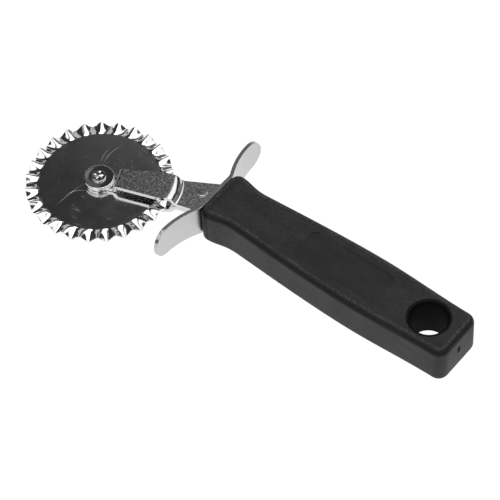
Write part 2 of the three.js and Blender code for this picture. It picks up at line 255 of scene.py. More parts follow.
def pressed(
    blank: Mesh,
    stations: Sequence[float],
    lift: Callable[[float], float],
    thickness: float,
    bow: Callable[[float, float], float] = straight,
) -> Mesh:
    """Bends a flat blank and gives it its thickness, half to each side.

    Args:
        blank: the blank in the x-y plane.
        stations: the x of each line that it bends along.
        lift: the height of the sheet's middle at each x.
        thickness: the sheet's thickness.
        bow: how far back along x a point of a bend is set, where the bend is curved.

    Returns:
        The same mesh, now a closed sheet.
    """
    slice_across(blank, stations, Vector((1, 0, 0)))
    for vert in blank.verts:
        vert.co.z = lift(vert.co.x)
        vert.co.x -= bow(vert.co.x, vert.co.y)
    bmesh.ops.recalc_face_normals(blank, faces=blank.faces[:])
    blank.normal_update()
    shift = {vert: vert.normal * thickness / 2 * vert.calc_shell_factor() for vert in blank.verts}
    for vert, move in shift.items():
        vert.co += move
    bmesh.ops.solidify(blank, geom=blank.faces[:], thickness=thickness)
    bmesh.ops.remove_doubles(blank, verts=blank.verts[:], dist=MERGE)
    bmesh.ops.recalc_face_normals(blank, faces=blank.faces[:])
    return blank


def show(
    name: str,
    mesh: Mesh,
    place: Matrix,
    finish: "Finish",
    body: Body,
    stands_for: str,
    inlays: Sequence["Finish"] = (),
) -> bpy.types.Object:
    """Makes a finished mesh a piece of the cutter, with its place in its mesh.

    Args:
        name: the piece's name.
        mesh: its mesh, in its sub-assembly's own frame; freed here.
        place: from that frame to the model's.
        finish: what it is made of.
        body: the body that it rides on.
        stands_for: the CAD node that it stands for.
        inlays: the finishes of its faces with material index 1 and up.

    Returns:
        The piece.
    """
    bmesh.ops.transform(mesh, matrix=place, verts=mesh.verts[:])
    data = bpy.data.meshes.new(name)
    mesh.to_mesh(data)
    mesh.free()
    data.shade_smooth()
    data.set_sharp_from_angle(angle=SHARP)
    piece = bpy.data.objects.new(name, data)
    bpy.context.scene.collection.objects.link(piece)
    for surface in (finish, *inlays):
        data.materials.append(surface.material())
    normals = piece.modifiers.new("flat faces stay flat", "WEIGHTED_NORMAL")
    normals.keep_sharp = True
    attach(piece, body.value)
    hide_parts(stands_for)
    log.info("%s: %d faces, for %s on %s", name, len(data.polygons), stands_for, body.value)
    return piece


# ---------- finishes ----------


@dataclass(frozen=True)
class Finish:
    """What every finish has: a name, a slot, and a shader whose roughness and relief come from grain."""

    name: str
    slot: Slot
    color: tuple[float, float, float]
    metallic: float
    roughness: float

    def material(self) -> bpy.types.Material:
        """The finish as a material, made once and shared."""
        made = bpy.data.materials.get(self.name)
        if made is None:
            made = bpy.data.materials.new(self.name)
            made.use_nodes = True
            shader = made.node_tree.nodes["Principled BSDF"]
            shader.inputs["Base Color"].default_value = (*self.color, 1)
            shader.inputs["Metallic"].default_value = self.metallic
            shader.inputs["Roughness"].default_value = self.roughness
            self.grain(Wiring(made.node_tree, shader))
        return made

    def grain(self, wiring: "Wiring") -> None:
        """Adds what this finish has beyond an even surface."""
        raise NotImplementedError


@dataclass
class Wiring:
    """A material's nodes while they are being joined up."""

    tree: bpy.types.NodeTree
    shader: bpy.types.Node

    def add(self, kind: str, **settings: object) -> bpy.types.Node:
        """Adds a node.

        Args:
            kind: the node's type name.
            settings: its properties.

        Returns:
            The node.
        """
        node = self.tree.nodes.new(kind)
        for key, value in settings.items():
            setattr(node, key, value)
        return node

    def join(self, source: Socket, target: Socket) -> None:
        """Links one socket to another."""
        self.tree.links.new(source, target)

    def vector(self, operation: str, *values: Socket | Sequence[float]) -> bpy.types.Node:
        """Vector arithmetic.

        Args:
            operation: what is done.
            values: sockets, which are linked, and constants, which are set.

        Returns:
            The node.
        """
        node = self.add("ShaderNodeVectorMath", operation=operation)
        for socket, value in zip(node.inputs, values):
            if isinstance(value, Socket):
                self.join(value, socket)
            else:
                socket.default_value = value
        return node

    def arithmetic(self, operation: str, *values: Socket) -> Socket:
        """The result of arithmetic on values."""
        node = self.add("ShaderNodeMath", operation=operation)
        for socket, value in zip(node.inputs, values):
            self.join(value, socket)
        return node.outputs[0]

    def coordinates(self, kind: str) -> Socket:
        """One of the kinds of texture coordinates."""
        return self.add("ShaderNodeTexCoord").outputs[kind]

    def position(self, centre: Vector = Vector()) -> Socket:
        """Object coordinates, measured from a centre."""
        return self.vector("SUBTRACT", self.coordinates("Object"), centre).outputs[0]

    def axis(self, position: Socket, name: str) -> Socket:
        """One coordinate of a position."""
        split = self.add("ShaderNodeSeparateXYZ")
        self.join(position, split.inputs[0])
        return split.outputs[name]

    def noise(self, position: Socket, scale: float, detail: float = 2.0) -> Socket:
        """Noise with features about one over scale metres wide.

        Args:
            position: where it is read.
            scale: its scale.
            detail: its detail.

        Returns:
            The socket that gives it, from 0 to 1.
        """
        node = self.add("ShaderNodeTexNoise")
        node.inputs["Scale"].default_value = scale
        node.inputs["Detail"].default_value = detail
        self.join(position, node.inputs["Vector"])
        return node.outputs["Fac"]

    def stretch(self, position: Socket, scale: Sequence[float]) -> Socket:
        """The position with each axis scaled, so that what reads it runs along the least scaled one."""
        return self.vector("MULTIPLY", position, scale).outputs[0]

    def polar(self, position: Socket, around: float) -> Socket:
        """The direction from the z axis times a length, with the radius as its height.

        A pattern that reads it runs round the axis, without a seam.

        Args:
            position: where it is read, from the axis.
            around: metres that one radian counts for.

        Returns:
            The socket that gives it.
        """
        flat = self.stretch(position, (1, 1, 0))
        height = self.add("ShaderNodeCombineXYZ")
        self.join(self.vector("LENGTH", flat).outputs["Value"], height.inputs["Z"])
        direction = self.vector("NORMALIZE", flat).outputs[0]
        around_axis = self.stretch(direction, (around, around, 0))
        return self.vector("ADD", around_axis, height.outputs[0]).outputs[0]

    def remap(
        self, value: Socket, source: Point, target: Point, smooth: bool = False
    ) -> Socket:
        """A value moved from one range to another, held at the ends.

        Args:
            value: the socket that gives it.
            source: the range that it is read over.
            target: the range that it is given over.
            smooth: whether the ends are eased.

        Returns:
            The socket that gives the new value.
        """
        node = self.add("ShaderNodeMapRange", clamp=True)
        node.interpolation_type = "SMOOTHSTEP" if smooth else "LINEAR"
        for socket, number in zip(node.inputs[1:5], (*source, *target)):
            socket.default_value = number
        self.join(value, node.inputs["Value"])
        return node.outputs["Result"]

    def plus(self, first: Socket, second: Socket) -> Socket:
        """The sum of two values."""
        return self.arithmetic("ADD", first, second)

    def times(self, first: Socket, second: Socket) -> Socket:
        """The product of two values."""
        return self.arithmetic("MULTIPLY", first, second)

    def distance(self, position: Socket, point: Vector) -> Socket:
        """How far the position is from a point, in plan."""
        away = self.vector("SUBTRACT", position, point).outputs[0]
        return self.vector("LENGTH", self.stretch(away, (1, 1, 0))).outputs["Value"]

    def flatness(self) -> Socket:
        """1 where the surface lies flat, facing up or down, and 0 where it stands upright."""
        return self.arithmetic("ABSOLUTE", self.axis(self.coordinates("Normal"), "Z"))

    def band(self, value: Socket, rising: Point, falling: Point) -> Socket:
        """1 between two slopes of a value, and 0 outside them.

        Args:
            value: the socket that gives it.
            rising: the range that it rises from 0 to 1 over.
            falling: the range that it falls back over.

        Returns:
            The socket that gives the new value.
        """
        return self.times(self.remap(value, rising, (0, 1)), self.remap(value, falling, (1, 0)))

    def roughen(self, value: Socket) -> None:
        """Drives the shader's roughness."""
        self.join(value, self.shader.inputs["Roughness"])

    def relief(self, height: Socket, depth: float, strength: float) -> None:
        """Gives the surface a fine relief.

        Args:
            height: the relief, from 0 to 1.
            depth: how deep 1 is, in metres.
            strength: how much of it is felt.
        """
        bump = self.add("ShaderNodeBump")
        bump.inputs["Strength"].default_value = strength
        bump.inputs["Distance"].default_value = depth
        self.join(height, bump.inputs["Height"])
        self.join(bump.outputs["Normal"], self.shader.inputs["Normal"])

    def shade(self, factor: Socket, low: float, high: float) -> None:
        """Varies the shader's grey with a value.

        Args:
            factor: the value, from 0 to 1.
            low: the grey where it is 0.
            high: the grey where it is 1.
        """
        ramp = self.add("ShaderNodeValToRGB")
        for element, grey in zip(ramp.color_ramp.elements, (low, high)):
            element.color = (grey, grey, grey, 1)
        self.join(factor, ramp.inputs["Fac"])
        self.join(ramp.outputs["Color"], self.shader.inputs["Base Color"])


@dataclass(frozen=True)
class Hairline:
    """A fine curved scratch, measured from the centre of a turned face."""

    centre: Point
    radius: float
    heading: float  # degrees, from the curve's centre to the middle of the scratch
    reach: float  # half its length
    width: float = 0.22 * MM

    @property
    def middle(self) -> Vector:
        """The middle of the scratch."""
        turn = math.radians(self.heading)
        x, y = self.centre
        return Vector((x + self.radius * math.cos(turn), y + self.radius * math.sin(turn), 0))


@dataclass(frozen=True)
class TurnedSteel(Finish):
    """Polished steel with the fine rings that turning leaves, and a few longer scratches."""

    centre: tuple[float, float, float] = (0, 0, 0)
    ring_scale: float = 5000
    scratch_scale: float = 900
    scratch_length: float = 4 * MM
    haze: float = 0.05
    scratch_depth: float = 0.002 * MM
    hairline_haze: float = 0.3
    hairlines: tuple[Hairline, ...] = ()
    flat: Point = (0.9, 0.99)  # flatness that the marks come in over

    def hairline(self, wiring: Wiring, position: Socket, line: Hairline) -> Socket:
        """1 on a scratch and 0 off it, fading towards its ends."""
        radius = wiring.distance(position, Vector((*line.centre, 0)))
        inside, outside = (line.radius - line.width, line.radius), (line.radius, line.radius + line.width)
        from_middle = wiring.distance(position, line.middle)
        fade = wiring.remap(from_middle, (0.3 * line.reach, line.reach), (1, 0))
        return wiring.times(wiring.band(radius, inside, outside), fade)

    def grain(self, wiring: Wiring) -> None:
        """Rings and scratches round the centre, in roughness and relief."""
        position = wiring.position(Vector(self.centre))
        flat = wiring.remap(wiring.flatness(), self.flat, (0, 1))
        rings = wiring.noise(wiring.polar(position, 2 * MM), self.ring_scale)
        scratches = wiring.noise(wiring.polar(position, self.scratch_length), self.scratch_scale, 4)
        marks = wiring.times(wiring.remap(scratches, (0.64, 0.7), (0, 1)), flat)
        blooms = wiring.noise(position, 120)
        low = self.roughness
        hazy = wiring.remap(blooms, (0.35, 0.7), (low, low + self.haze))
        rough = wiring.plus(hazy, wiring.remap(marks, (0, 1), (0, 2 * self.haze)))
        for line in self.hairlines:
            mark = self.hairline(wiring, position, line)
            rough = wiring.plus(rough, wiring.remap(mark, (0, 1), (0, self.hairline_haze)))
        wiring.roughen(rough)
        wiring.relief(wiring.times(wiring.plus(rings, marks), flat), self.scratch_depth, 0.05)


@dataclass(frozen=True)
class TumbledSteel(Finish):
    """Pressed sheet that was tumbled: mottled faces with fine dents."""

    mottle_scale: float = 1100
    mottle: float = 0.08
    dent_depth: float = 0.02 * MM
    flat: Point = (0.9, 0.98)  # flatness that the mottling comes in over

    def grain(self, wiring: Wiring) -> None:
        """Mottling in grey and roughness, and dents in relief, where the sheet is flat."""
        position = wiring.position()
        flat = wiring.remap(wiring.flatness(), self.flat, (0, 1))
        mottle = wiring.times(wiring.noise(position, self.mottle_scale, 3), flat)
        fine = wiring.noise(position, 4 * self.mottle_scale, 2)
        low = self.color[0]
        wiring.shade(wiring.remap(mottle, (0.35, 0.68), (0, 1)), low, low * 1.25)
        wiring.roughen(wiring.remap(mottle, (0.35, 0.7), (self.roughness, self.roughness + self.mottle)))
        dents = wiring.times(wiring.remap(fine, (0.3, 0.7), (0, 0.3)), flat)
        wiring.relief(wiring.plus(mottle, dents), self.dent_depth, 0.3)


@dataclass(frozen=True)
class SatinSteel(Finish):
    """Sheet with a soft brushed grain that runs across it."""

    brush_scale: float = 900
    brush_stretch: tuple[float, float, float] = (1, 1, 0.06)
    grain_depth: float = 0.004 * MM

    def grain(self, wiring: Wiring) -> None:
        """Brush lines in roughness and relief, over slow clouding."""
        position = wiring.position()
        lines = wiring.noise(wiring.stretch(position, self.brush_stretch), self.brush_scale, 3)
        clouds = wiring.noise(position, 90)
        low = self.roughness
        base = wiring.remap(clouds, (0.3, 0.7), (low - 0.02, low + 0.04))
        wiring.roughen(wiring.plus(base, wiring.remap(lines, (0.3, 0.7), (0, 0.04))))
        wiring.relief(lines, self.grain_depth, 0.1)


@dataclass(frozen=True)
class MouldedPlastic(Finish):
    """Black plastic from a fine spark-eroded mould, with a highlight painted where its flat faces round over,
    and shade painted on its fillets and by the guard.
    """

    spark_scale: float = 3200
    spark_depth: float = 0.03 * MM
    specular: float = 0.16
    speck_scale: float = 1000
    speck: float = 0.2
    edge_highlight: float = 1.1  # how much paler the painted edge highlight is
    highlight_rises: Point = (0.9, 0.97)  # flatness that the painted edge highlight starts and ends over
    highlight_falls: Point = (0.985, 0.999)
    # painted shade: how much darker the fillets between top and sides are made
    painted_fillet_shade: float = 0.5
    fillet_rises: Point = (0.08, 0.35)
    fillet_falls: Point = (0.8, 0.92)
    joint_at: float = 0.0  # x of the joint by the guard, where shade is painted on the sides
    joint_reach: float = 4.6 * MM
    joint_fade: float = 0.5 * MM
    painted_joint_shade: float = 0.15  # share of the grey that is left under the painted shade

    def grain(self, wiring: Wiring) -> None:
        """Spark texture in relief, specks, a painted edge highlight and painted shade in grey, wear in
        roughness.
        """
        wiring.shader.inputs["Specular IOR Level"].default_value = self.specular
        position = wiring.position()
        spark = wiring.noise(position, self.spark_scale, 3)
        speck = wiring.noise(position, self.speck_scale, 3)
        wear = wiring.noise(position, 70, 3)
        flow = wiring.noise(wiring.stretch(position, (0.35, 1, 1)), 260, 2)
        grey = self.color[0]
        level = wiring.times(
            wiring.remap(flow, (0.3, 0.7), (0.88 * grey, 1.14 * grey), smooth=True),
            wiring.remap(speck, (0.3, 0.7), (1 - self.speck, 1 + self.speck)),
        )
        flatness = wiring.flatness()
        # painted highlight: a paler band, broken up by the specks, where flat faces start to round over
        edge = wiring.band(flatness, self.highlight_rises, self.highlight_falls)
        highlighted = wiring.times(edge, wiring.remap(speck, (0.42, 0.66), (0, self.edge_highlight)))
        # painted shade: the fillets darkened halfway round from the top to the sides
        fillet = wiring.band(flatness, self.fillet_rises, self.fillet_falls)
        level = wiring.times(level, wiring.remap(highlighted, (0, self.edge_highlight), (1, 1 + self.edge_highlight)))
        level = wiring.times(level, wiring.remap(fillet, (0, 1), (1, 1 - self.painted_fillet_shade)))
        # painted shade: the sides darkened near the guard, the top less so
        end = self.joint_at + self.joint_reach
        joint_shading = wiring.times(
            wiring.remap(wiring.axis(position, "X"), (end - self.joint_fade, end), (1, 0)),
            wiring.remap(flatness, (0.2, 0.8), (1, 0.25)),
        )
        level = wiring.times(level, wiring.remap(joint_shading, (0, 1), (1, self.painted_joint_shade)))
        wiring.join(level, wiring.shader.inputs["Base Color"])
        wiring.roughen(wiring.remap(wear, (0.35, 0.65), (self.roughness - 0.03, self.roughness + 0.05)))
        wiring.relief(spark, self.spark_depth, 0.35)


# ---------- places ----------


@dataclass(frozen=True)
class Places:
    """Where the sub-assemblies stand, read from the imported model.

    The fork's own frame has the wheel's centre as its origin and runs along the arms to the guard. The
    handle's has the middle of the guard's back face. Both have z up, from the plane that halves the cutter.
    """

    fork_offset: float = 1.6 * MM  # from the handle's axis to where the fork's axis meets the guard

    @property
    def wheel(self) -> Vector:
        """The wheel's centre."""
        low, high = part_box("cutter_wheel")
        return (low + high) / 2

    @property
    def guard(self) -> Vector:
        """The middle of the guard's back face."""
        low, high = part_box("handle")
        middle = (low + high) / 2
        return Vector((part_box("finger_guard")[1].x, middle.y, middle.z))

    @property
    def fork_turn(self) -> float:
        """The angle from the handle's axis to the fork's, in radians."""
        along = self.guard + Vector((0, self.fork_offset, 0)) - self.wheel
        return math.atan2(along.y, along.x)

    @property
    def handle_frame(self) -> Matrix:
        """From the handle's own frame to the model's."""
        return Matrix.Translation(self.guard)

    @property
    def fork_frame(self) -> Matrix:
        """From the fork's own frame to the model's."""
        return Matrix.Translation(self.wheel) @ Matrix.Rotation(self.fork_turn, 4, "Z")

    def to_fork(self, x: float, y: float) -> Point:
        """A point of the handle's own frame, in the fork's."""
        point = self.fork_frame.inverted() @ (self.handle_frame @ Vector((x, y, 0)))
        return point.x, point.y


# ---------- wheel ----------


@dataclass(frozen=True)
class CutterWheel:
    """The pressed disc with its fluted rim."""

    places: Places
    radius: float = 27.5 * MM
    thickness: float = 0.9 * MM
    bore: float = 3.28 * MM
    crimps: int = 26
    crimp_length: float = 4.75 * MM
    crimp_height: float = 1.18 * MM
    crimp_turn: float = math.radians(7.26)  # from the fork's axis to the first crest
    rise_power: float = 0.75  # 1 raises the folds evenly from their inner ends to the rim
    crest_round: float = 0.8  # 0 is a sharp fold, 1 a sine
    steps_per_crimp: int = 28
    crimp_rings: int = 18
    edge: float = 0.12 * MM

    def profile(self) -> list[Point]:
        """The disc's section, from its bore round its rim and back, closely stepped along the crimps."""
        half = self.thickness / 2
        start = self.radius - self.crimp_length
        flat = [self.bore + self.edge, self.bore + 1.5 * MM, start * 0.5, start * 0.8, start - 0.4 * MM]
        crimped = [start + self.crimp_length * i / self.crimp_rings for i in range(self.crimp_rings)]
        radii = [*flat, *crimped, self.radius - self.edge]
        corner = arc((self.radius - self.edge, half - self.edge), self.edge, QUARTER_TURN, 0, 3)[1:]
        lower = [(x, -y) for x, y in corner]
        top = [(r, half) for r in radii] + corner
        bottom = lower[::-1] + [(r, -half) for r in radii[::-1]]
        return [(self.bore, half - self.edge), *top, *bottom, (self.bore, self.edge - half)]

    def fold(self, turn: float) -> float:
        """The height of the folds round the wheel, from -1 to 1.

        Args:
            turn: how far round a crimp, from 0 at a crest to 1 at the next.

        Returns:
            A triangle wave with rounded crests.
        """
        wave = math.cos(turn * FULL_TURN)
        zigzag = 1 - 4 * abs(turn - round(turn))
        return self.crest_round * wave + (1 - self.crest_round) * zigzag

    def lift(self, x: float, y: float) -> float:
        """How far the folds raise or lower the disc at a point."""
        start = self.radius - self.crimp_length
        along = (math.hypot(x, y) - start) / self.crimp_length
        if along <= 0:
            return 0.0
        turn = (math.atan2(y, x) - self.crimp_turn) / FULL_TURN * self.crimps
        return self.crimp_height * along**self.rise_power * self.fold(turn)

    def build(self) -> None:
        """Spins the disc and presses its rim into folds."""
        mesh = spun(self.profile(), self.crimps * self.steps_per_crimp)
        for vert in mesh.verts:
            vert.co.z += self.lift(vert.co.x, vert.co.y)
        finish = TurnedSteel(
            "polished wheel steel",
            Slot.WHEEL,
            CHROME,
            1.0,
            0.1,
            tuple(self.places.wheel),
            hairlines=(
                Hairline((86.2 * MM, -20.7 * MM), 91.6 * MM, 174.5, 8.5 * MM),
                Hairline((1.1 * MM, -12.8 * MM), 6.5 * MM, 146, 5 * MM),
                Hairline((11 * MM, 12.5 * MM), 16.3 * MM, 178, 7.5 * MM),
                Hairline((8 * MM, 13.9 * MM), 15.2 * MM, 192, 5 * MM),
            ),
        )
        show("fluted_wheel", mesh, self.places.fork_frame, finish, Body.WHEEL, "cutter_wheel")


# ---------- hub ----------


@dataclass(frozen=True)
class Hub:
    """The washer over the upper arm's eye and the pin that is staked over it."""

    places: Places
    pin_radius: float = 2 * MM
    washer_radius: float = 5.7 * MM
    washer_thickness: float = 0.85 * MM
    washer_dish: float = 0.12 * MM
    washer_edge: float = 0.28 * MM
    stake_radius: float = 2.65 * MM
    stake_height: float = 0.42 * MM
    stake_lobes: int = 4
    stake_depth: float = 0.2 * MM
    eye_outer: float = 2.15 * MM  # from the wheel's middle plane to an arm's outer face at its eye
    seat_gap: float = 0.05 * MM
    steps: int = 96

    def finish(self) -> Finish:
        """Turned steel with coarser rings than the wheel's."""
        return TurnedSteel(
            "turned hub steel", Slot.HUB, CHROME, 1.0, 0.07, tuple(self.places.wheel), 3500, 700, haze=0.015
        )

    def washer(self) -> None:
        """A round washer, dished a little, with a rolled edge."""
        bottom = self.eye_outer + self.seat_gap
        top = bottom + self.washer_thickness
        inner = self.pin_radius + 0.08 * MM
        land = self.washer_radius - 0.9 * MM
        mesh = spun(
            [
                (inner, bottom),
                (self.washer_radius, bottom),
                (self.washer_radius, top),
                (land + 0.35 * MM, top),
                (land, top - self.washer_dish),
                (inner + 0.8 * MM, top - self.washer_dish),
                (inner, top - self.washer_dish),
            ],
            self.steps,
        )
        soften(mesh, self.washer_edge, 4)
        show("washer", mesh, self.places.fork_frame, self.finish(), Body.FRAME, "hub_washer")

    def stake(self, x: float, y: float) -> float:
        """How far the staking tool has pressed the pin's end in at a point."""
        share = math.hypot(x, y) / self.stake_radius
        if share >= 1:
            return 0.0
        lobes = 0.5 + 0.5 * math.cos(self.stake_lobes * math.atan2(y, x))
        return self.stake_depth * math.sin(math.pi * min(share * 1.15, 1)) * lobes

    def pin(self) -> None:
        """The pin, from its flat head below to its staked end above."""
        head = self.eye_outer + self.seat_gap
        seat = head + self.washer_thickness + self.seat_gap
        top = seat + self.stake_height
        crown = [(self.stake_radius * (1 - i / 12), top) for i in range(1, 13)]
        low = -head - self.washer_thickness
        mesh = spun(
            [
                (0.0, low),
                (self.washer_radius, low),
                (self.washer_radius, -head),
                (self.pin_radius, -head),
                (self.pin_radius, seat),
                (self.stake_radius, seat),
                (self.stake_radius, top),
                *crown,
            ],
            self.steps,
        )
        soften(mesh, 0.14 * MM, 3)
        for vert in mesh.verts:
            if vert.co.z > seat + 0.5 * self.stake_height:
                vert.co.z -= self.stake(vert.co.x, vert.co.y)
        show("staked_pin", mesh, self.places.fork_frame, self.finish(), Body.FRAME, "axle_pin")

    def build(self) -> None:
        """Both pieces."""
        self.washer()
        self.pin()


# ---------- fork ----------


@dataclass(frozen=True)
class Joggle:
    """Two bends in a sheet, and the slope between them, that raise it or lower it."""

    start: float
    height: float
    angle: float
    first: float  # radii of the bends, at the sheet's middle
    second: float
    steps: int = 7

    @property
    def slope_run(self) -> float:
        """How far the slope runs along x."""
        bends = (self.first + self.second) * (1 - math.cos(self.angle))
        return (abs(self.height) - bends) / math.tan(self.angle)

    @property
    def run(self) -> float:
        """How far the whole joggle runs along x."""
        return (self.first + self.second) * math.sin(self.angle) + self.slope_run

    def stations(self) -> list[float]:
        """The x of every line that the sheet bends along."""
        angles = [self.angle * i / self.steps for i in range(self.steps + 1)]
        rising = [self.start + self.first * math.sin(a) for a in angles]
        falling = [self.start + self.run - self.second * math.sin(a) for a in angles]
        return rising + falling[::-1]

    def lift(self, x: float) -> float:
        """The sheet's height above where it starts, at an x."""
        at = x - self.start
        sine = math.sin(self.angle)
        if at <= 0:
            height = 0.0
        elif at < self.first * sine:
            height = self.first - math.sqrt(self.first**2 - at**2)
        elif at < self.run - self.second * sine:
            height = self.first * (1 - math.cos(self.angle)) + (at - self.first * sine) * math.tan(self.angle)
        elif at < self.run:
            left = self.run - at
            height = abs(self.height) - self.second + math.sqrt(self.second**2 - left**2)
        else:
            height = abs(self.height)
        return math.copysign(height, self.height)


@dataclass(frozen=True)
class Fork:
    """The two pressed arms, mirror images of each other, and the rivet in front of the guard."""

    places: Places
    thickness: float = 1.5 * MM
    eye_radius: float = 5.2 * MM
    neck_width: float = 7.6 * MM
    width: float = 12.2 * MM
    widest_at: float = 24 * MM
    waist_width: float = 10.8 * MM
    eye_middle: float = 1.4 * MM  # heights of the sheet's middle: at the eye, over the crimps, at the tang
    over_crimps: float = 3.45 * MM
    tang_middle: float = 0.8 * MM
    wheel_radius: float = 27.5 * MM
    rise_at: float = 6 * MM
    rise_angle: float = math.radians(62)
    rise_bend: float = 1 * MM
    drop_angle: float = math.radians(50)
    drop_bends: Point = (3 * MM, 2 * MM)
    # the shoulders, the tang, the rivets and the posts are in the handle's frame
    shoulder_at: float = -1.45 * MM
    shoulder_offset: float = 0.6 * MM
    shoulder_width: float = 16 * MM
    tang_width: float = 11 * MM
    tang_length: float = 57 * MM
    tang_corner: float = 2 * MM
    pin_hole: float = 2.08 * MM
    rivet_hole: float = 1.58 * MM
    post_hole: float = 2.2 * MM
    rivet_at: float = -7.3 * MM
    tang_rivet_at: float = 49 * MM
    posts_at: tuple[float, float] = (18 * MM, 34 * MM)
    rivet_radius: float = 1.5 * MM
    rivet_head: float = 2.05 * MM
    rivet_height: float = 0.35 * MM
    rivet_crown: float = 0.05 * MM
    edge: float = 0.3 * MM
    bow_radius: float = 19 * MM  # of the joggle, seen from above
    bow_fade: float = 4 * MM
    bow_steps: int = 12

    @property
    def rise(self) -> Joggle:
        """The bends that lift the arm out of its eye, clear of the crimps."""
        height = self.over_crimps - self.eye_middle
        return Joggle(self.rise_at, height, self.rise_angle, self.rise_bend, self.rise_bend)

    @property
    def drop(self) -> Joggle:
        """The bends that lower the arm, past the rim, on to the other arm."""
        height = self.tang_middle - self.over_crimps
        return Joggle(self.wheel_radius, height, self.drop_angle, *self.drop_bends)

    def outline(self) -> list[Point]:
        """The blank's outline, in the fork's frame."""
        eye = math.asin(self.neck_width / 2 / self.eye_radius)
        waist_at = self.drop.start + self.drop.run / 2
        half_tang = self.tang_width / 2
        low = self.shoulder_offset - self.shoulder_width / 2
        high = self.shoulder_offset + self.shoulder_width / 2
        tail = self.tang_length - self.tang_corner
        side = half_tang - self.tang_corner
        behind = [
            (self.shoulder_at, low),
            (self.shoulder_at, -half_tang),
            *arc((tail, -side), self.tang_corner, -QUARTER_TURN, 0, 6),
            *arc((tail, side), self.tang_corner, 0, QUARTER_TURN, 6),
            (self.shoulder_at, half_tang),
            (self.shoulder_at, high),
        ]
        return [
            *arc((0, 0), self.eye_radius, eye, FULL_TURN - eye, 40),
            (self.widest_at, -self.width / 2),
            (waist_at, -self.waist_width / 2),
            *[self.places.to_fork(x, y) for x, y in behind],
            (waist_at, self.waist_width / 2),
            (self.widest_at, self.width / 2),
        ]

    def blank(self) -> Mesh:
        """The flat blank with its holes."""
        mesh = bmesh.new()
        add_loop(mesh, self.outline())
        add_loop(mesh, arc((0, 0), self.pin_hole, 0, FULL_TURN, 32)[:-1])
        holes = [(self.rivet_at, self.rivet_hole), (self.tang_rivet_at, self.rivet_hole)]
        holes += [(at, self.post_hole) for at in self.posts_at]
        for at, radius in holes:
            add_loop(mesh, arc(self.places.to_fork(at, 0), radius, 0, FULL_TURN, 24)[:-1])
        fill_flat(mesh, mesh.edges[:], UP)
        return mesh

    def bow(self, x: float, y: float) -> float:
        """How far a bend near the wheel's rim is set back at a point, so that it runs round the rim."""
        before = (x - self.widest_at) / (self.drop.start - self.widest_at)
        behind = (self.drop.start + self.drop.run + self.bow_fade - x) / self.bow_fade
        return max(0.0, min(1.0, before, behind)) * y**2 / (2 * self.bow_radius)

    def arm(self, name: str, upper: bool, stands_for: str) -> None:
        """One arm.

        Args:
            name: its name.
            upper: whether it is the one above the wheel.
            stands_for: the CAD node that it stands for.
        """
        rise, drop = self.rise, self.drop
        blank = self.blank()
        lines = [self.width * (i / self.bow_steps - 0.5) for i in range(self.bow_steps)]
        slice_across(blank, lines, Vector((0, 1, 0)))
        mesh = pressed(
            blank,
            rise.stations() + drop.stations(),
            lambda x: self.eye_middle + rise.lift(x) + drop.lift(x),
            self.thickness,
            self.bow,
        )
        soften(mesh, self.edge, 3, math.radians(55))
        if not upper:
            bmesh.ops.scale(mesh, vec=(1, 1, -1), verts=mesh.verts[:])
            bmesh.ops.recalc_face_normals(mesh, faces=mesh.faces[:])
        finish = TumbledSteel("tumbled arm steel", Slot.ARM, (0.66, 0.66, 0.67), 1.0, 0.13, mottle=0.2)
        show(name, mesh, self.places.fork_frame, finish, Body.FRAME, stands_for)

    def rivet(self, name: str, at: float, stands_for: str) -> None:
        """A rivet through both arms, with a low dome on each side.

        Args:
            name: its name.
            at: where it is along the handle's axis.
            stands_for: the CAD node that it stands for.
        """
        seat = self.tang_middle + self.thickness / 2 + 0.05 * MM
        shoulder = self.rivet_height - self.rivet_crown
        land = self.rivet_head - shoulder
        rim = arc((land, seat), shoulder, 0, QUARTER_TURN, 5)
        shares = [1 - i / 6 for i in range(1, 7)]
        crown = [(land * share, seat + shoulder + self.rivet_crown * (1 - share**2)) for share in shares]
        dome = rim + crown
        below = [(radius, -height) for radius, height in dome[::-1]]
        mesh = spun([*below, (self.rivet_radius, -seat), (self.rivet_radius, seat), *dome], 48)
        place = self.places.handle_frame @ Matrix.Translation((at, 0, 0))
        finish = TumbledSteel("tumbled rivet steel", Slot.ARM, (0.6, 0.6, 0.61), 1.0, 0.2, 1500, 0.06)
        show(name, mesh, place, finish, Body.FRAME, stands_for)

    def build(self) -> None:
        """The arms and the rivets."""
        self.arm("upper_arm", True, "upper_fork_arm")
        self.arm("lower_arm", False, "lower_fork_arm")
        self.rivet("rivet_by_guard", self.rivet_at, "front_rivet")
        self.rivet("rivet_in_tang", self.tang_rivet_at, "tang_rivet")


# ---------- guard ----------


